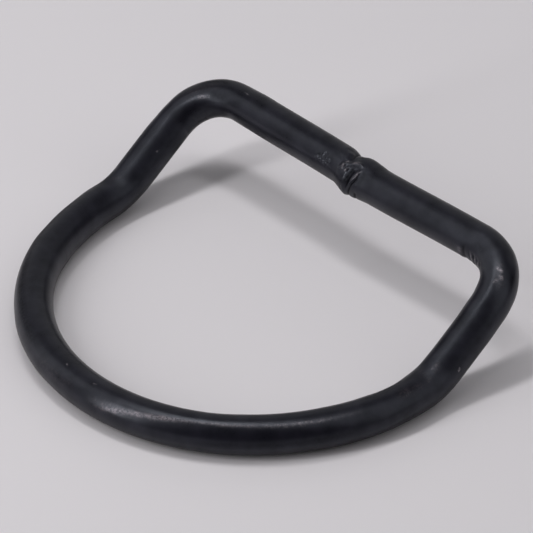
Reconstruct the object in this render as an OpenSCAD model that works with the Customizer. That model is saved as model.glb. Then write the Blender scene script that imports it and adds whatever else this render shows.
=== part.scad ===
// Folded D-ring for flat webbing, bent from one round wire whose ends are welded in the middle of the bar.
// The half-round loop lies on the ground. Behind it both arms rise at the fold and hold up the bar.
// X runs along the bar, Y from the loop to the bar, Z up. The origin is on the ground, under the middle.

/* [Wire] */
// Diameter of the round wire
wire_d = 5; // [3:0.1:8]
// Clear width between the arms, for webbing of up to this width
inside_w = 52; // [36:1:80]

/* [Bends] */
// Bend radius of both corners, to the middle of the wire
corner_r = 7; // [5:0.1:12]
// Straight length of each arm, between its corner and the fold
arm_len = 9; // [2:0.5:30]
// Angle by which each half of the bar leans towards the loop on its way to the weld
bar_lean = 1; // [0:0.1:3]
// Angle at which the arms rise from the plane of the loop
fold_angle = 32; // [5:1:60]
// Bend radius of the fold, to the middle of the wire
fold_r = 8.5; // [5:0.5:20]
// Diameter that the wire loses where it is bent tightly, at the fold and the corners
bend_thinning = 0.04; // [0.02:0.01:0.2]

/* [Weld] */
// Length of bar that the weld has reshaped
weld_len = 7.2; // [4:0.1:8]
// Height of the swelling on both sides of the seam
weld_swell = 0.1; // [0:0.01:0.4]
// Distance by which the two wire ends sit past each other, in the plane of the bar
end_step = 0.45; // [0:0.05:0.8]
// Depth of the groove along the seam
seam_depth = 0.3; // [0:0.05:0.6]
// Width of the groove along the seam
seam_w = 1.2; // [0.6:0.1:2]
// Angle by which the seam slants from square across the bar
seam_slant = 26; // [0:1:35]

/* [Hidden] */
$fn = 96;

wire_r = wire_d / 2;
bend_wire_r = (wire_d - bend_thinning) / 2;
loop_r = (inside_w + wire_d) / 2;
half_bar = (loop_r - corner_r * (1 + sin(bar_lean))) / cos(bar_lean);
half_weld = weld_len / 2;

// The upper end of the fold, from the middle of the loop. The plane of arms and bar begins there
fold_y = fold_r * sin(fold_angle);
fold_z = fold_r * (1 - cos(fold_angle));
// The weld's place in that plane, counted up the arms
weld_y = arm_len + corner_r * cos(bar_lean) - half_bar * sin(bar_lean);
// The middle of the loop, so that the ring's front and back lie evenly about the origin
loop_y = (loop_r + wire_r - fold_y - (arm_len + corner_r) * cos(fold_angle) - bend_wire_r) / 2;

// How far straights and loop, which keep the wire's full thickness, run into the bends between them
reach = 0.05;

// The weld is a skin of rings with many sides. Its two roots run inside the bar
weld_sides = 28;
weld_rings = 8;
weld_root = wire_r / 2;
weld_root_r = bend_wire_r;

// A stretch of wire along Y. What follows it on the wire is its child
module straight(length) {
    translate([0, -reach, 0])
        rotate([-90, 0, 0])
            cylinder(r = wire_r, h = length + 2 * reach);
    translate([0, length, 0])
        children();
}

// A tight bend from Y towards -X. What follows it on the wire is its child
module bend(radius, angle) {
    translate([-radius, 0, 0]) {
        rotate_extrude(angle = angle)
            translate([radius, 0])
                circle(r = bend_wire_r);
        rotate(angle)
            translate([radius, 0, 0])
                children();
    }
}

// The half-round loop, flat on the ground
module loop() {
    spare = reach / loop_r * 180 / PI;
    rotate(spare)
        rotate_extrude(angle = -180 - 2 * spare)
            translate([loop_r, 0])
                circle(r = wire_r);
}

// From one end of the loop up the fold and the arm, round the corner and along the bar to the weld.
// The fold bends upwards, the corner inwards
module side() {
    translate([loop_r, 0, 0])
        rotate([0, 90, 0])
            bend(fold_r, fold_angle)
                rotate([0, -90, 0])
                    straight(arm_len)
                        bend(corner_r, 90 + bar_lean)
                            straight(half_bar - half_weld);
}

// Places along the weld, as shares of its half length: closer together near the seam
function weld_places() = let (root = 1 + weld_root / half_weld)
    [-root, for (i = [-weld_rings:weld_rings]) sign(i) * pow(abs(i) / weld_rings, 1.5), root];

// From 0 at the weld's ends to 1 at the seam, without a crease at either
function near_seam(place) = (1 + cos(180 * min(1, abs(place)))) / 2;

// From 0 at the groove's edges to 1 in its middle
function in_groove(place) = max(0, 1 - abs(place) * weld_len / seam_w);

function weld_radius(place) = weld_root_r
    + weld_swell * near_seam(place)
    - seam_depth * in_groove(place);

// How far the wire has stepped aside at this place
function weld_step(place) = sign(place) * end_step / 2 * near_seam(place) * (1 - in_groove(place));

// One ring of the skin. Rings slant most at the seam, and lie square across the bar at the weld's ends
function weld_ring(place) = let (
    radius = weld_radius(place),
    lean = bar_lean * max(-1, min(1, place)),
    slant = tan(seam_slant) * near_seam(place)
) [
    for (i = [0:weld_sides - 1]) let (
        out = radius * cos(360 * i / weld_sides),
        up = radius * sin(360 * i / weld_sides)
    ) [
        place * half_weld * cos(bar_lean) - out * (sin(lean) + slant),
        abs(place) * half_weld * sin(bar_lean) + out * cos(lean) + weld_step(place),
        up
    ]
];

// The welded ends, in the plane of arms and bar
module weld() {
    places = weld_places();
    last = len(places) - 1;
    points = [for (place = places) each weld_ring(place)];
    around = [for (ring = [0:last - 1]) for (i = [0:weld_sides - 1]) let (
        next = (i + 1) % weld_sides,
        here = ring * weld_sides,
        beyond = here + weld_sides
    ) [here + i, beyond + i, beyond + next, here + next]];
    ends = [
        [for (i = [0:weld_sides - 1]) i],
        [for (i = [weld_sides - 1:-1:0]) last * weld_sides + i]
    ];
    translate([0, fold_y, fold_z])
        rotate([fold_angle, 0, 0])
            translate([0, weld_y, 0])
                polyhedron(points, concat(around, ends), convexity = 4);
}

// The whole wire
module ring() {
    color([0.16, 0.16, 0.18])
        translate([0, loop_y, wire_r]) {
            loop();
            side();
            mirror([1, 0, 0])
                side();
            weld();
        }
}

ring();
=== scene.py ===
from math import atan2, cos, degrees, pi, radians, sin
from random import Random

import bpy
from mathutils import Matrix, Vector, kdtree, noise


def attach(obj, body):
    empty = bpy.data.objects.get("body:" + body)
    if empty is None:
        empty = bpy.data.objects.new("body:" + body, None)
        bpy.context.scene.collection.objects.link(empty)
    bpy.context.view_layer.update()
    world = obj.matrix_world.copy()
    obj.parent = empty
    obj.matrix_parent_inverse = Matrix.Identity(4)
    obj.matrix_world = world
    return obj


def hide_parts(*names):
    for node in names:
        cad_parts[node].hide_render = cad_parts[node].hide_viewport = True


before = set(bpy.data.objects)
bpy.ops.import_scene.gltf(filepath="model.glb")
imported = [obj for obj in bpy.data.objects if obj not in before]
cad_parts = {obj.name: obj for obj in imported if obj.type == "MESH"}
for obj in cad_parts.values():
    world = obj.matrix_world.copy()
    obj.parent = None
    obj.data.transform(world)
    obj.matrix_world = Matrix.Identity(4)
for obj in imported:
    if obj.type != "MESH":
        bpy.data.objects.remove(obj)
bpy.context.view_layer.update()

mm = 0.001

# the bent wire, with the sizes that the part's source has
wire = {
    "across": 5.0 * mm,
    "clearWidth": 52.0 * mm,
    "cornerRadius": 7.0 * mm,
    "armLength": 9.0 * mm,
    "foldRadius": 8.5 * mm,
    "foldAngle": radians(32),
    "barLean": radians(1),
    "bendThinning": 0.04 * mm,
    "coatingRoom": 0.01 * mm,  # keeps the uneven coating inside the wire's own size
    "sides": 128,  # faces round the wire
    "loopSteps": 136,  # rings of faces along each stretch of half the ring
    "foldSteps": 18,
    "armSteps": 40,
    "cornerSteps": 100,
    "barSteps": 28,
    "weldSteps": 58,
    "weldReach": 5.8 * mm,  # the finely divided stretch beside the seam
    "mergeGap": 0.01 * mm,  # points of the two halves that lie closer than this become one
}

wireRadius = wire["across"] / 2
skinRadius = wireRadius - wire["coatingRoom"]
loopRadius = (wire["clearWidth"] + wire["across"]) / 2
cornerRadius = wire["cornerRadius"]
foldRadius = wire["foldRadius"]
foldAngle = wire["foldAngle"]
barLean = wire["barLean"]
cornerTurn = pi / 2 + barLean
halfBar = (loopRadius - cornerRadius * (1 + sin(barLean))) / cos(barLean)
foldLength = foldRadius * sin(foldAngle)
foldRise = foldRadius * (1 - cos(foldAngle))
weldUp = wire["armLength"] + cornerRadius * cos(barLean) - halfBar * sin(barLean)
armsDepth = (wire["armLength"] + cornerRadius) * cos(foldAngle)
loopY = (loopRadius - foldLength - armsDepth + wire["bendThinning"] / 2) / 2

toRight = Vector((1, 0, 0))
upArm = Vector((0, cos(foldAngle), sin(foldAngle)))
offArms = Vector((0, -sin(foldAngle), cos(foldAngle)))  # square to the arms and the bar, upwards
loopMiddle = Vector((0, loopY, wireRadius))
armFoot = loopMiddle + Vector((loopRadius, foldLength, foldRise))
armTop = armFoot + upArm * wire["armLength"]
cornerMiddle = armTop - toRight * cornerRadius
weldMiddle = Vector((0, armFoot.y, armFoot.z)) + upArm * weldUp


def wirePlace(part, along, side):
    # the wire's middle, its outward and its upward direction, at a place along one part of the ring
    if part == "bar":  # metres from the weld, positive towards the right corner
        lean = Vector((cos(barLean), 0, 0)) + upArm * sin(barLean)
        middle = weldMiddle + lean * abs(along)
        outward, upward = upArm, offArms
        side = 1 if along >= 0 else -1
    elif part == "corner":  # degrees from the arm's top towards the bar
        outward = toRight * cos(radians(along)) + upArm * sin(radians(along))
        middle, upward = cornerMiddle + outward * cornerRadius, offArms
    elif part == "arm":  # metres from the fold
        middle, outward, upward = armFoot + upArm * along, toRight, offArms
    elif part == "fold":  # degrees from the loop
        turn = radians(along)
        bent = Vector((loopRadius, foldRadius * sin(turn), foldRadius * (1 - cos(turn))))
        middle, outward, upward = loopMiddle + bent, toRight, Vector((0, -sin(turn), cos(turn)))
    else:  # the loop: degrees from its end beside the fold towards the front
        outward = Vector((cos(radians(along)), -sin(radians(along)), 0))
        middle, upward = loopMiddle + outward * loopRadius, Vector((0, 0, 1))
    flip = Vector((side, 1, 1))
    return middle * flip, outward * flip, upward * flip


def onWire(part, along, around, side):
    # a point on the wire's surface: around is 0 on the ring's outer side and 90 on top
    middle, outward, upward = wirePlace(part, along, side)
    return middle + (outward * cos(radians(around)) + upward * sin(radians(around))) * skinRadius


def deselectAll():
    bpy.ops.object.select_all(action="DESELECT")


def goStraight(direction, length, steps):
    # the selected end of the wire goes on straight
    bpy.ops.mesh.extrude_repeat(steps=steps, offset=direction * (length / steps))


def goRound(middle, axis, angle, steps):
    # or round a bend. Spin turns clockwise about its axis, so the angle is negative
    bpy.ops.mesh.spin(steps=steps, angle=-angle, center=middle, axis=axis)


def bendWire():
    # half the ring, from the middle of the loop's front to the weld, and then its mirror image
    deselectAll()
    bpy.ops.mesh.primitive_circle_add(
        vertices=wire["sides"], radius=skinRadius, fill_type="NOTHING",
        location=loopMiddle - Vector((0, loopRadius, 0)), rotation=(0, pi / 2, 0))
    ring = bpy.context.object
    ring.name = ring.data.name = "coatedRing"
    bpy.ops.object.transform_apply(location=True, rotation=True, scale=True)
    bpy.ops.object.mode_set(mode="EDIT")
    bpy.ops.mesh.select_mode(type="VERT")
    bpy.ops.mesh.select_all(action="SELECT")
    foldMiddle = loopMiddle + Vector((loopRadius, 0, foldRadius))
    inwards = -toRight * cos(barLean) - upArm * sin(barLean)
    goRound(loopMiddle, (0, 0, 1), pi / 2, wire["loopSteps"])
    goRound(foldMiddle, (1, 0, 0), foldAngle, wire["foldSteps"])
    goStraight(upArm, wire["armLength"], wire["armSteps"])
    goRound(cornerMiddle, offArms, cornerTurn, wire["cornerSteps"])
    goStraight(inwards, halfBar - wire["weldReach"], wire["barSteps"])
    goStraight(inwards, wire["weldReach"], wire["weldSteps"])
    # the last ring of points is laid flat on the mirror
    bpy.ops.transform.resize(value=(0, 1, 1), center_override=weldMiddle)
    bpy.ops.object.mode_set(mode="OBJECT")
    mirror = ring.modifiers.new("otherHalf", "MIRROR")
    mirror.merge_threshold = wire["mergeGap"]
    bpy.ops.object.modifier_apply(modifier="otherHalf")
    bpy.ops.object.mode_set(mode="EDIT")
    bpy.ops.mesh.select_all(action="SELECT")
    bpy.ops.mesh.normals_make_consistent(inside=False)
    bpy.ops.object.mode_set(mode="OBJECT")
    bpy.ops.object.shade_smooth()
    print("ring bent:", len(ring.data.vertices), "points")
    return ring


ring = bendWire()

# what welding and bending did to the wire, as strokes along its surface: the part of the ring, its
# side (1 right, -1 left), places as (along, around), how far the stroke raises the surface (or
# presses it in, below zero) and how wide it is felt. Along is in mm on bar and arm and in degrees
# elsewhere, around in degrees, height and width in mm. On the bar the sign of along gives the side
weldStrokes = [
    # the notch over the top, and the crease in it
    ("bar", 1, [(-1.0, -60), (-0.75, -20), (-0.6, 20), (-0.5, 50), (-0.1, 74)], -0.20, 1.2),
    ("bar", 1, [(-1.1, -10), (-1.05, 25), (-0.8, 48), (-0.5, 62)], -0.10, 0.28),
    # the hump to its right and the bulge underneath
    ("bar", 1, [(1.3, 32), (2.2, 28), (3.0, 30)], 0.14, 1.9),
    ("bar", 1, [(0.3, 165), (0.2, 200), (0.1, 235)], 0.12, 1.6),
    # the hollow beside the first crack
    ("bar", 1, [(0.45, 94), (0.55, 108), (0.4, 126)], -0.11, 0.62),
    # the first crack, the second with a fine start, the third by the lower edge, and a faint one
    ("bar", 1, [(1.15, 91), (0.98, 111), (0.78, 132), (0.55, 152)], -0.24, 0.22),
    ("bar", 1, [(2.2, 104), (1.85, 116)], -0.07, 0.13),
    ("bar", 1, [(1.98, 112), (1.37, 137), (0.97, 160), (0.5, 194)], -0.21, 0.17),
    ("bar", 1, [(2.1, 156), (1.7, 182), (1.4, 210)], -0.22, 0.24),
    ("bar", 1, [(-0.3, 152), (-0.7, 182)], -0.09, 0.20),
    # the seam round the back, broad and then sharp
    ("bar", 1, [(0.5, 188), (0.1, 222), (-0.3, 262), (-0.7, 300), (-1.0, 350)], -0.20, 0.6),
    ("bar", 1, [(0.5, 188), (0.1, 222), (-0.3, 262), (-0.7, 300), (-1.0, 350)], -0.14, 0.24),
    # the lip of metal pushed up between the cracks, the crescent over the hollow, beads, ripples
    ("bar", 1, [(1.85, 90), (1.58, 110), (1.06, 142)], 0.12, 0.44),
    ("bar", 1, [(-1.35, 111), (-1.15, 95), (-0.6, 81), (0.25, 74), (1.0, 69), (1.65, 74)],
     0.13, 0.36),
    ("bar", 1, [(-0.9, 100), (-0.85, 91)], 0.15, 0.30),
    ("bar", 1, [(-0.24, 102), (-0.1, 94)], 0.15, 0.28),
    ("bar", 1, [(-1.8, 56), (-1.1, 44)], 0.05, 0.36),
    ("bar", 1, [(-2.4, 45), (-1.7, 38)], -0.05, 0.30),
    ("bar", 1, [(-0.6, 63), (-0.3, 67)], -0.08, 0.26),
]

bendStrokes = [
    # wrinkles on the inner side of the right corner
    ("bar", 1, [(20.85, 126), (20.9, 150), (20.9, 185), (20.9, 215)], -0.13, 0.34),
    ("bar", 1, [(20.3, 138), (20.35, 165), (20.4, 195)], 0.05, 0.50),
    ("corner", 1, [(84, 140), (82, 165), (83, 200)], -0.07, 0.30),
    ("corner", 1, [(75, 137), (73, 160), (73, 205)], -0.13, 0.28),
    ("corner", 1, [(65, 134), (63, 158), (64, 205)], -0.13, 0.26),
    ("corner", 1, [(56, 128), (54, 150), (54, 190)], -0.12, 0.28),
    ("corner", 1, [(79, 146), (78, 200)], 0.06, 0.24),
    ("corner", 1, [(70, 143), (68.5, 200)], 0.07, 0.24),
    ("corner", 1, [(60, 136), (59, 195)], 0.06, 0.24),
    # this corner is a little flat inside
    ("corner", 1, [(38, 170), (48, 178), (58, 175)], -0.22, 2.2),
    # faint ones inside the left corner
    ("corner", -1, [(24, 158), (22, 182), (23, 208)], -0.05, 0.30),
    ("corner", -1, [(42, 160), (40, 182), (41, 208)], -0.04, 0.30),
    ("corner", -1, [(2, 160), (1, 182), (1, 208)], -0.05, 0.34),
    # the left corner's outer side is drawn flat at both ends
    ("corner", -1, [(0, -20), (8, 10), (14, 30)], -0.15, 3.0),
    ("corner", -1, [(78, -20), (86, 10), (90, 35)], -0.15, 3.0),
    # where the die held the folds
    ("fold", 1, [(4, 70), (14, 95), (26, 120)], -0.07, 1.1),
    ("fold", 1, [(20, 62), (30, 88)], 0.04, 0.8),
    ("fold", 1, [(0, 100), (8, 128)], 0.03, 0.8),
    ("fold", -1, [(2, 75), (14, 98), (26, 118)], -0.06, 1.2),
    ("fold", -1, [(22, 62), (30, 86)], 0.03, 0.9),
]

# where the bent wire strays from its true line, on the outer and on the inner side
wanderStrokes = [
    ("corner", 1, [(0, -15), (14, -15)], -0.12, 3.0),
    ("corner", 1, [(0, 155), (16, 160)], 0.20, 3.0),
    ("corner", 1, [(44, 10), (60, 15)], 0.10, 2.8),
    ("arm", 1, [(0, 145), (8, 150)], 0.08, 2.8),
    ("fold", 1, [(6, 140), (28, 145)], 0.11, 2.8),
    ("loop", 1, [(9, -18), (28, -18)], 0.13, 2.6),
    ("loop", 1, [(5, 135), (11, 135)], -0.12, 2.6),
    ("loop", 1, [(22, 130), (52, 130)], 0.09, 2.8),
    ("loop", -1, [(6, 45), (22, 40)], -0.12, 2.8),
    ("loop", -1, [(6, 212), (30, 205)], 0.13, 2.4),
    ("loop", -1, [(54, 0), (76, -5)], 0.10, 2.6),
    ("fold", -1, [(4, 208), (28, 208)], -0.09, 2.6),
    ("corner", -1, [(26, 195), (46, 195)], -0.09, 2.6),
    ("corner", -1, [(-4, 30), (4, 35)], -0.08, 2.4),
]

# where use has worn the coating, with a paler colour that partly paints highlights: strokes as
# above, with how strongly they show, 1 being fully, in place of a height. Strokes that overlap add
# up
rubAndHighlightStrokes = [
    # the band worn along the loop's front, partly a painted highlight
    ("loop", 1, [(87, 30), (83, 36), (78, 44)], 0.45, 1.0),
    ("loop", 1, [(85, 20), (80.5, 32), (76, 43), (70, 52.5), (65.5, 57.5)], 1.0, 0.78),
    ("loop", 1, [(74, 49), (70, 55), (65, 61), (58, 65.5), (50, 66), (40, 64), (28, 63), (18, 62)],
     0.9, 0.5),
    ("loop", -1, [(72, 30), (80, 30), (88, 33)], 0.35, 1.2),
    # both corners, both folds and the loop's right half
    ("corner", 1, [(46, 70), (36, 66), (24, 62)], 0.6, 0.9),
    ("corner", -1, [(28, 98), (40, 105), (54, 110)], 0.35, 0.8),
    ("fold", 1, [(17, 71), (22, 71), (26, 69)], 0.45, 0.5),
    ("fold", 1, [(22, 80), (27, 79), (32, 78)], 0.6, 0.35),
    ("fold", 1, [(8, 84), (10, 100), (11, 118)], 0.3, 1.1),
    ("fold", 1, [(4, 58), (9, 66)], 0.35, 0.6),
    ("fold", -1, [(15, 84), (20, 96)], 0.3, 0.7),
    ("corner", -1, [(22, 82), (44, 80), (66, 82)], 0.45, 0.8),
    ("corner", 1, [(32, 58), (20, 58)], 0.3, 0.7),
    ("loop", 1, [(1, 60), (8, 66)], 0.55, 0.9),
    ("loop", 1, [(42, 62), (30, 62)], 0.45, 0.5),
    # painted highlights on the weld's raised metal
    ("bar", 1, [(-3.6, 38), (-2.2, 38), (-1.2, 35)], 0.3, 0.6),
    ("bar", 1, [(-1.4, 107), (-1.1, 93), (-0.5, 79), (0.3, 73), (1.1, 68), (1.7, 74)], 0.36, 0.35),
    ("bar", 1, [(-1.2, 40), (-0.7, 52)], 0.4, 0.32),
    ("bar", 1, [(1.9, 86), (1.64, 106), (1.25, 126)], 0.95, 0.40),
]

# where scuffs show pale metal, and where the same pale colour paints highlights
scuffAndHighlightStrokes = [
    # painted highlight along the middle of the worn band, and scuffs with painted highlights on
    # both corners
    ("loop", 1, [(83, 24), (79.5, 35), (75, 45), (69.5, 53.5), (62, 62)], 0.38, 0.44),
    ("loop", 1, [(68, 59), (62, 65), (54, 66.5), (44, 65)], 0.24, 0.28),
    ("corner", 1, [(40, 73), (38, 67), (36.5, 61)], 0.95, 0.36),
    ("corner", 1, [(32, 62), (29, 57)], 0.65, 0.40),
    ("corner", 1, [(27, 70), (25, 78)], 0.4, 0.34),
    ("corner", -1, [(43, 107), (47, 109), (51, 111)], 0.6, 0.32),
    ("corner", -1, [(53, 111), (57, 112)], 0.35, 0.28),
    # painted highlights on the wrinkles inside the right corner
    ("bar", 1, [(20.3, 145), (20.4, 168)], 0.35, 0.38),
    ("corner", 1, [(79, 146), (78, 175)], 0.5, 0.24),
    ("corner", 1, [(70, 143), (69, 175)], 0.55, 0.22),
    ("corner", 1, [(60, 138), (59, 170)], 0.5, 0.22),
    ("corner", 1, [(50, 150), (48, 180)], 0.5, 0.30),
    # painted highlights on the beads, crescent and lip of the weld
    ("bar", 1, [(-0.9, 102), (-0.85, 91)], 0.9, 0.21),
    ("bar", 1, [(-0.26, 104), (-0.1, 95)], 1.0, 0.22),
    ("bar", 1, [(-0.88, 81), (-0.72, 74)], 0.45, 0.22),
    ("bar", 1, [(0.1, 77), (0.6, 72), (1.1, 69)], 0.36, 0.22),
    ("bar", 1, [(1.74, 98), (1.54, 114)], 0.35, 0.26),
    # chips and specks
    ("arm", 1, [(0.75, 14), (0.85, 16)], 1.4, 0.24),
    ("arm", -1, [(4.55, 139), (4.65, 141)], 0.6, 0.16),
    ("loop", 1, [(87.8, 77), (88.2, 79)], 0.55, 0.15),
    ("loop", -1, [(81, 75), (81.4, 77)], 0.6, 0.15),
    ("bar", 1, [(-20.3, 67), (-20.1, 69)], 0.35, 0.12),
    ("loop", 1, [(34, 67), (32, 67)], 0.5, 0.16),
    ("fold", 1, [(20, 81), (22, 80)], 0.30, 0.20),
]

# painted shade, darker and less shiny: in the weld's cracks and the wrinkles, and on darker
# stretches
paintedShadeStrokes = [
    # painted shade in the weld's cracks, hollow and notch, and on the bar beside them
    ("bar", 1, [(1.15, 91), (0.98, 111), (0.78, 132), (0.55, 152)], 1.0, 0.18),
    ("bar", 1, [(2.08, 108), (1.85, 117), (1.37, 137), (0.97, 160), (0.5, 194)], 1.0, 0.14),
    ("bar", 1, [(0.75, 90), (0.64, 102), (0.44, 122), (0.25, 138)], 0.95, 0.44),
    ("bar", 1, [(2.5, 82), (2.75, 104), (2.5, 124)], 0.4, 0.8),
    ("bar", 1, [(-2.9, 74), (-1.7, 66)], 0.35, 0.8),
    ("bar", 1, [(-5.5, 113), (-4.9, 109)], 0.7, 0.4),
    ("bar", 1, [(0.0, 36), (0.3, 46)], 0.6, 0.5),
    ("bar", 1, [(2.1, 156), (1.7, 182), (1.4, 210)], 1.0, 0.22),
    ("bar", 1, [(-1.1, -10), (-1.05, 25), (-0.8, 48), (-0.5, 62)], 0.6, 0.25),
    # painted shade in the wrinkles inside the right corner
    ("bar", 1, [(20.85, 128), (20.9, 150), (20.9, 185)], 0.8, 0.26),
    ("corner", 1, [(75, 137), (73, 160), (73, 195)], 0.8, 0.18),
    ("corner", 1, [(65, 134), (63, 158), (64, 195)], 0.8, 0.18),
    ("corner", 1, [(56, 130), (54, 150), (54, 185)], 0.7, 0.18),
    # the outer side of the left half, the tops of both corners and the inner side by the right fold
    ("loop", -1, [(74, 47), (56, 50), (28, 50), (16, 57), (4, 62)], 0.6, 1.0),
    ("fold", -1, [(2, 60), (28, 57)], 0.4, 0.8),
    ("arm", -1, [(0, 54), (7, 52)], 0.4, 0.7),
    ("corner", -1, [(44, 58), (60, 56), (76, 62)], 0.5, 0.7),
    ("corner", -1, [(60, 103), (72, 112), (80, 112)], 0.35, 0.9),
    ("corner", 1, [(64, 103), (80, 104)], 0.35, 0.8),
    ("loop", 1, [(3, 116), (13, 114)], 0.5, 0.8),
    # and low on the loop's right half
    ("loop", 1, [(60, 4), (44, 7), (32, 7), (18, 10)], 0.4, 0.8),
]

# duller where the dies gripped it
dullStrokes = [
    ("fold", 1, [(4, 62), (14, 76), (26, 86)], 1.0, 2.3),
    ("fold", -1, [(4, 78), (14, 92), (26, 102)], 1.0, 2.3),
    ("arm", 1, [(0, 82), (8, 84)], 0.6, 1.6),
    ("arm", -1, [(0, 100), (8, 102)], 0.6, 1.6),
    ("corner", 1, [(48, 76), (64, 78), (86, 84)], 0.8, 1.8),
    ("corner", -1, [(62, 108), (86, 108)], 0.5, 1.6),
    ("corner", -1, [(4, 112), (16, 114)], 0.8, 1.2),
]

# short chance strokes left of the weld, in mm and degrees
pits = {
    "seed": 3,
    "count": 34,
    "along": (-5.6, -3.2),
    "around": (98, 130),
    "goesAlong": (-0.1, 0.1),
    "goesAround": (2, 6),
    "sense": (-1, -1, 1),  # two of three are pressed in
    "height": 0.05,
    "heightShare": (0.6, 1.2),
    "width": (0.16, 0.28),
}

# how the two halves of the bar really meet, in mm: each half strays from its straight line, the
# left end dips and the metal is swollen, all most at the place given and fading on both sides
barStrays = {
    "leftHigh": {"at": -5.0, "reach": 13.0, "move": 0.13},
    "rightLow": {"at": 5.0, "reach": 13.0, "move": -0.14},
    "leftEndDip": {"at": -0.5, "reach": 2.4, "move": -0.40},
    "swelling": {"at": 0.9, "reach": 2.9, "move": 0.20, "evenShare": 0.4},
}
barThickness = 4.0  # what lies further than this towards the loop isn't the bar, in mm

# the seam as (around, along), in degrees and mm, and how far it blends to both sides, in mm
seamLine = [(-180, 0.2), (-90, -0.6), (0, -1.05), (60, -0.6), (76, 0.2), (92, 1.1), (140, 0.5),
            (180, 0.2)]
seamBlend = 0.3

# how every stroke is laid on
brush = {
    "spots": 24,  # from each place to the next
    "endStrength": 0.2,
    "growth": 5.0,  # how fast it gets stronger from its ends
    "raggedness": 0.25,
    "raggedSize": 0.5 * mm,
}


def fade(gap, reach):
    # 1 in the middle, and smoothly down to 0 at the end of the reach
    share = max(0, 1 - abs(gap) / reach)
    return share * share * (3 - 2 * share)


def spotsAlong(part, side, path):
    # points along a stroke, each with its strength
    unit = mm if part in ("bar", "arm") else 1
    for number, (here, there) in enumerate(zip(path, path[1:])):
        for step in range(brush["spots"]):
            share = step / brush["spots"]
            along, around = (a + (b - a) * share for a, b in zip(here, there))
            gone = (number + share) / (len(path) - 1)
            strength = brush["growth"] * min(gone, 1 - gone) + brush["endStrength"]
            yield onWire(part, along * unit, around, side), min(1, strength)


def strokeHeights(strokes):
    # how far each point of the ring is raised, in metres
    places = kdtree.KDTree(len(ring.data.vertices))
    for point in ring.data.vertices:
        places.insert(point.co, point.index)
    places.balance()
    heights = {}
    for part, side, path, height, width in strokes:
        felt = {}
        for spot, strength in spotsAlong(part, side, path):
            ragged = 1 + brush["raggedness"] * noise.noise(spot / brush["raggedSize"])
            reach = width * mm * ragged
            for _, index, gap in places.find_range(spot, reach):
                felt[index] = max(felt.get(index, 0), strength * fade(gap, reach))
        for index, share in felt.items():
            heights[index] = heights.get(index, 0) + share * height * mm
    return heights


def pitStrokes():
    chance = Random(pits["seed"])
    for _ in range(pits["count"]):
        along, around = chance.uniform(*pits["along"]), chance.uniform(*pits["around"])
        sense = chance.choice(pits["sense"])
        height = sense * pits["height"] * chance.uniform(*pits["heightShare"])
        alongEnd = along + chance.uniform(*pits["goesAlong"])
        aroundEnd = around + chance.uniform(*pits["goesAround"])
        width = chance.uniform(*pits["width"])
        yield "bar", 1, [(along, around), (alongEnd, aroundEnd)], height, width


def pushPoints(name, distances, direction):
    # Displace modifiers, weighted by how far each point has to go
    furthest = max(distances.values())
    group = ring.vertex_groups.new(name=name)
    for index, distance in distances.items():
        group.add([index], distance / furthest, "REPLACE")
    deselectAll()
    ring.select_set(True)
    for axis, share in direction:
        push = ring.modifiers.new(name, "DISPLACE")
        push.direction = axis
        push.mid_level = 0
        push.strength = furthest * share
        push.vertex_group = name
        bpy.ops.object.modifier_apply(modifier=push.name)
    ring.vertex_groups.remove(ring.vertex_groups[name])


def seamAt(around):
    # how far along the bar the seam lies at an angle round it, in metres
    for (before, start), (after, end) in zip(seamLine, seamLine[1:]):
        if around <= after:
            return (start + (end - start) * (around - before) / (after - before)) * mm
    return seamLine[-1][1] * mm


def strayBar():
    # how far each point of the bar goes with each of its strays, in metres
    moves = {name: {} for name in barStrays}
    for point in ring.data.vertices:
        away = point.co - weldMiddle
        if away.dot(upArm) < -barThickness * mm or abs(away.x) > halfBar:
            continue
        around = degrees(atan2(away.dot(offArms), away.dot(upArm)))
        leftShare = min(1, max(0, 0.5 + (seamAt(around) - away.x) / (2 * seamBlend * mm)))
        for name, stray in barStrays.items():
            share = fade(away.x / mm - stray["at"], stray["reach"])
            if name.startswith("left"):
                share *= leftShare
            elif name.startswith("right"):
                share *= 1 - leftShare
            else:  # the swelling, mostly towards the outer and the inner side
                even = stray["evenShare"]
                share *= even + (1 - even) * cos(radians(around)) ** 2
            if share > 0:
                moves[name][point.index] = share * abs(stray["move"]) * mm
    return moves


def paintOn(name, strokes):
    # keeps the strokes as a value on each point, for the coating to read
    values = strokeHeights(strokes)
    layer = ring.data.attributes.new(name, "FLOAT", "POINT")
    for index, value in values.items():
        layer.data[index].value = value / mm


def sculptRing():
    paintOn("rubbedAndHighlight", rubAndHighlightStrokes)
    paintOn("scuffedAndHighlight", scuffAndHighlightStrokes)
    paintOn("paintedShade", paintedShadeStrokes)
    paintOn("dulled", dullStrokes)
    heights = strokeHeights(weldStrokes + bendStrokes + wanderStrokes + list(pitStrokes()))
    moves = strayBar()
    for index, height in moves.pop("swelling").items():
        heights[index] = heights.get(index, 0) + height
    # the whole skin goes in as deep as the deepest mark, and each point then comes out as far as it
    # should. So all marks are one move, square to a smooth skin, and no face folds over another
    deepest = -min(heights.values())
    inwards = {point.index: deepest for point in ring.data.vertices}
    outwards = {index: depth + heights.get(index, 0) for index, depth in inwards.items()}
    pushPoints("drawnIn", inwards, [("NORMAL", -1)])
    pushPoints("broughtOut", outwards, [("NORMAL", 1)])
    for name, distances in moves.items():
        sense = 1 if barStrays[name]["move"] > 0 else -1
        pushPoints(name, distances, [("Y", sense * upArm.y), ("Z", sense * upArm.z)])
    print("weld, wrinkles and dents sculpted")


sculptRing()

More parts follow.
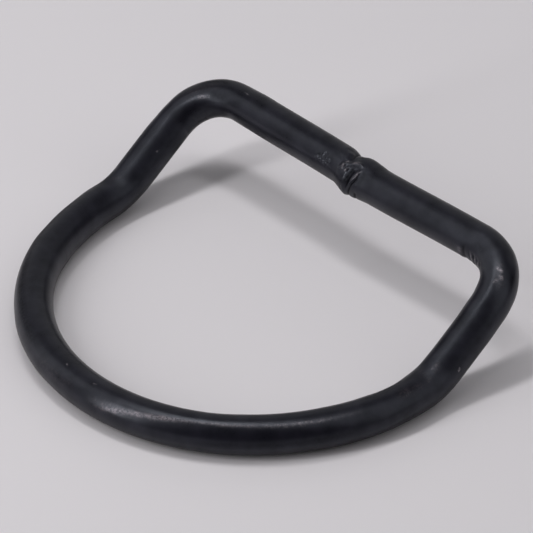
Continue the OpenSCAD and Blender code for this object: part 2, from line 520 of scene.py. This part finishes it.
coating = {
    "colour": (0.0084, 0.0079, 0.0123, 1),
    "palest": 1.5,  # times the colour, where its patches are palest and darkest
    "darkest": 0.6,
    # a paler colour for worn places, which partly paints highlights
    "rubbedAndHighlightColour": (0.034, 0.028, 0.031, 1),
    # pale metal for scuffs, which also paints highlights
    "scuffedAndHighlightColour": (0.34, 0.307, 0.333, 1),
    # the darker colour of painted shade
    "paintedShadeColour": (0.003, 0.003, 0.004, 1),
    "roughness": 0.312,
    "unevenRoughness": 0.04,  # how much the patches change it
    "dulledRoughness": 0.50,
    "rubbedAndHighlightRoughness": 0.28,
    "scuffedAndHighlightRoughness": 0.42,
    "paintedShadeRoughness": 0.7,
    "shine": 0.35,
    "edgeShine": 0.13,  # what is left of it where the surface turns away
    "unevenShine": 0.16,
    "rubbedAndHighlightShine": 0.66,
    "paintedShadeShine": 0.05,
    "shineColour": (0.812, 0.865, 0.99, 1),
    "rubbedAndHighlightShineColour": (0.92, 0.845, 0.955, 1),
    # clouds of noise: size, detail and distortion
    "patches": (2.4 * mm, 3, 0.0),
    "drifts": (9.6 * mm, 3, 0.0),
    "wear": (0.7 * mm, 1, 0.0),
    "grain": (0.24 * mm, 2, 0.0),
    "flecks": (0.312 * mm, 3, 0.6),
    # what the clouds do: while they rise from the first number to the second, the effect goes from
    # the third to the fourth
    "unevenPatches": (0.3, 0.7, -0.30, 0.30),
    "unevenDrifts": (0.3, 0.7, -0.15, 0.15),
    "rubbedAndHighlightWear": (0.38, 0.60, 0.35, 1.0),
    "rubbedAndHighlightGrain": (0.42, 0.62, 0.25, 1.0),
    "scuffedAndHighlightFlecks": (0.40, 0.58, 0.15, 1.0),
    "paintedShadeFlecks": (0.35, 0.60, 0.60, 1.0),
    "roughGrain": (0.3, 0.7, -0.03, 0.03),
    "turnedAway": (0.40, 0.92, 0.0, 1.0),  # the same for how far the surface turns away
    "peelDepth": 0.012 * mm,
    "grainDepth": 0.007 * mm,
}


def coatRing():
    material = bpy.data.materials.new("satinBlackCoating")
    material.use_nodes = True
    nodes, link = material.node_tree.nodes, material.node_tree.links.new
    shader = nodes["Principled BSDF"]
    place = nodes.new("ShaderNodeTexCoord").outputs["Object"]

    def feed(socket, value):
        if isinstance(value, (int, float, tuple)):
            socket.default_value = value
        else:
            link(value, socket)

    def cloud(size, detail, distortion):
        node = nodes.new("ShaderNodeTexNoise")
        node.inputs["Scale"].default_value = 1 / size
        node.inputs["Detail"].default_value = detail
        node.inputs["Distortion"].default_value = distortion
        link(place, node.inputs["Vector"])
        return node.outputs["Fac"]

    def spread(value, low, high, newLow, newHigh):
        node = nodes.new("ShaderNodeMapRange")
        link(value, node.inputs["Value"])
        ends = {"From Min": low, "From Max": high, "To Min": newLow, "To Max": newHigh}
        for name, number in ends.items():
            node.inputs[name].default_value = number
        return node.outputs["Result"]

    def calculate(operation, first, second):
        node = nodes.new("ShaderNodeMath")
        node.operation = operation
        feed(node.inputs[0], first)
        feed(node.inputs[1], second)
        return node.outputs["Value"]

    def blend(share, first, second, kind="RGBA"):
        node = nodes.new("ShaderNodeMix")
        node.data_type = kind
        link(share, node.inputs["Factor"])
        a, b = [socket for socket in node.inputs if socket.enabled and socket.name in ("A", "B")]
        feed(a, first)
        feed(b, second)
        return next(socket for socket in node.outputs if socket.enabled)

    def painted(name):
        node = nodes.new("ShaderNodeAttribute")
        node.attribute_name = name
        return node.outputs["Fac"]

    def bump(height, depth):
        node = nodes.new("ShaderNodeBump")
        node.inputs["Distance"].default_value = depth
        link(height, node.inputs["Height"])
        return node

    def times(brightness):
        return tuple(brightness * part for part in coating["colour"][:3]) + (1,)

    patches = cloud(*coating["patches"])
    drifts = cloud(*coating["drifts"])
    wear = cloud(*coating["wear"])
    grain = cloud(*coating["grain"])
    flecks = cloud(*coating["flecks"])

    # painted places show where the clouds let them
    # worn places with a painted highlight, where their strokes lie, broken up by grain and wear
    rubbedAndHighlight = calculate("MULTIPLY", spread(grain, *coating["rubbedAndHighlightGrain"]),
                       spread(wear, *coating["rubbedAndHighlightWear"]))
    rubbedAndHighlight = calculate("MULTIPLY", painted("rubbedAndHighlight"), rubbedAndHighlight)
    # scuffs and painted highlights, where their strokes lie, broken up by flecks
    scuffedAndHighlight = spread(flecks, *coating["scuffedAndHighlightFlecks"])
    scuffedAndHighlight = calculate("MULTIPLY", painted("scuffedAndHighlight"), scuffedAndHighlight)
    # painted shade, where its strokes lie, broken up by flecks
    paintedShade = calculate("MULTIPLY", painted("paintedShade"), spread(flecks, *coating["paintedShadeFlecks"]))

    uneven = calculate("ADD", spread(patches, *coating["unevenPatches"]),
                       spread(drifts, *coating["unevenDrifts"]))
    paleShare = calculate("ADD", uneven, 0.5)
    colour = blend(paleShare, times(coating["darkest"]), times(coating["palest"]))
    # worn places get a paler colour that partly paints highlights
    colour = blend(rubbedAndHighlight, colour, coating["rubbedAndHighlightColour"])
    # scuffs get pale metal, which also paints highlights
    colour = blend(scuffedAndHighlight, colour, coating["scuffedAndHighlightColour"])
    # painted shade darkens the colour
    colour = blend(paintedShade, colour, coating["paintedShadeColour"])
    link(colour, shader.inputs["Base Color"])

    change = calculate("MULTIPLY", uneven, coating["unevenRoughness"])
    roughness = calculate("ADD", coating["roughness"], change)
    roughness = calculate("ADD", roughness, spread(grain, *coating["roughGrain"]))
    roughness = blend(painted("dulled"), roughness, coating["dulledRoughness"], "FLOAT")
    roughness = blend(rubbedAndHighlight, roughness, coating["rubbedAndHighlightRoughness"], "FLOAT")
    roughness = blend(scuffedAndHighlight, roughness, coating["scuffedAndHighlightRoughness"], "FLOAT")
    roughness = blend(paintedShade, roughness, coating["paintedShadeRoughness"], "FLOAT")
    link(roughness, shader.inputs["Roughness"])

    facing = nodes.new("ShaderNodeLayerWeight").outputs["Facing"]
    turned = spread(facing, *coating["turnedAway"])
    shine = blend(turned, coating["shine"], coating["edgeShine"], "FLOAT")
    shine = calculate("ADD", shine, calculate("MULTIPLY", uneven, coating["unevenShine"]))
    shine = blend(rubbedAndHighlight, shine, coating["rubbedAndHighlightShine"], "FLOAT")
    shine = blend(paintedShade, shine, coating["paintedShadeShine"], "FLOAT")
    link(shine, shader.inputs["Specular IOR Level"])
    tint = blend(rubbedAndHighlight, coating["shineColour"], coating["rubbedAndHighlightShineColour"])
    link(tint, shader.inputs["Specular Tint"])

    # a slight orange peel, with fine grain on top
    peel = bump(patches, coating["peelDepth"])
    fine = bump(grain, coating["grainDepth"])
    link(peel.outputs["Normal"], fine.inputs["Normal"])
    link(fine.outputs["Normal"], shader.inputs["Normal"])
    return material


ring.data.materials.append(coatRing())
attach(ring, "root")
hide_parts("ring")
print("ring coated")

studio = {
    "floorSide": 4.0,
    "floorColour": (0.80, 0.77, 0.80, 1),
    "floorRoughness": 0.9,
    "floorShine": 0.1,
    "surround": (0.02, 0.02, 0.021, 1),
    "lampDistance": 0.5,
}

# how far round from the camera each lamp stands and how high, its turn, its size, and the
# brightness that the ring mirrors
lamps = {
    "overheadTube": {"round": 158, "rise": 86, "turn": 74,
                     "width": 0.06, "depth": 0.31, "brightness": 7.6},
    "backTube": {"round": -118, "rise": 72, "turn": -26,
                 "width": 0.27, "depth": 0.06, "brightness": 7.7},
    "leftTube": {"round": -68, "rise": 31, "turn": 7,
                 "width": 0.06, "depth": 0.50, "brightness": 12.5},
    "leftPanel": {"round": -111, "rise": 28, "turn": 0,
                  "width": 0.23, "depth": 0.52, "brightness": 1.0},
    "rightPanel": {"round": 64, "rise": 39, "turn": 0,
                   "width": 0.34, "depth": 0.68, "brightness": 0.8},
    "backPanel": {"round": 163, "rise": 27, "turn": 0,
                  "width": 1.1, "depth": 0.46, "brightness": 0.36},
}

view = {
    "turn": radians(47.11),  # from the front towards the right
    "rise": radians(36.97),
    "roll": radians(-1.57),
    "distance": 0.806819,
    "lens": 430.997,  # in mm, on a sensor this wide
    "sensorWidth": 36,
    "nearest": 0.01,
    "aim": Vector((-0.7187, 7.3403, 5.5)) * mm,
}

towardsCamera = Vector((sin(view["turn"]), -cos(view["turn"]), 0))
rightOfView = Vector((cos(view["turn"]), sin(view["turn"]), 0))


def layFloor():
    deselectAll()
    bpy.ops.mesh.primitive_plane_add(size=studio["floorSide"], location=(0, 0, 0))
    floor = bpy.context.object
    floor.name = "floor"
    paper = bpy.data.materials.new("palePaper")
    paper.use_nodes = True
    shader = paper.node_tree.nodes["Principled BSDF"]
    shader.inputs["Base Color"].default_value = studio["floorColour"]
    shader.inputs["Roughness"].default_value = studio["floorRoughness"]
    shader.inputs["Specular IOR Level"].default_value = studio["floorShine"]
    floor.data.materials.append(paper)


def hangLamp(name, lamp):
    turn, rise = radians(lamp["round"]), radians(lamp["rise"])
    level = towardsCamera * cos(turn) + rightOfView * sin(turn)
    away = level * cos(rise) + Vector((0, 0, sin(rise)))
    across = rightOfView * cos(turn) - towardsCamera * sin(turn)
    facing = Matrix((across, away.cross(across), away)).transposed()
    facing = facing @ Matrix.Rotation(radians(lamp["turn"]), 3, "Z")
    deselectAll()
    bpy.ops.object.light_add(type="AREA", location=away * studio["lampDistance"])
    light = bpy.context.object
    light.name = name
    light.rotation_euler = facing.to_euler()
    light.data.shape = "RECTANGLE"
    light.data.size = lamp["width"]
    light.data.size_y = lamp["depth"]
    # with this power its face is equally bright at any size
    light.data.energy = lamp["brightness"] * pi * lamp["width"] * lamp["depth"]


def standCamera():
    away = towardsCamera * cos(view["rise"]) + Vector((0, 0, sin(view["rise"])))
    turned = Matrix.Rotation(view["turn"], 4, "Z")
    turned = turned @ Matrix.Rotation(pi / 2 - view["rise"], 4, "X")
    turned = turned @ Matrix.Rotation(view["roll"], 4, "Z")
    deselectAll()
    place = view["aim"] + away * view["distance"]
    bpy.ops.object.camera_add(location=place, rotation=turned.to_euler())
    camera = bpy.context.object
    camera.data.lens = view["lens"]
    camera.data.sensor_width = view["sensorWidth"]
    camera.data.clip_start = view["nearest"]
    bpy.context.scene.camera = camera


layFloor()
for lampName, lamp in lamps.items():
    hangLamp(lampName, lamp)
standCamera()
world = bpy.data.worlds.new("surround")
bpy.context.scene.world = world
world.use_nodes = True
world.node_tree.nodes["Background"].inputs["Color"].default_value = studio["surround"]
bpy.context.scene.view_settings.view_transform = "Standard"
print("floor, lights and camera placed")
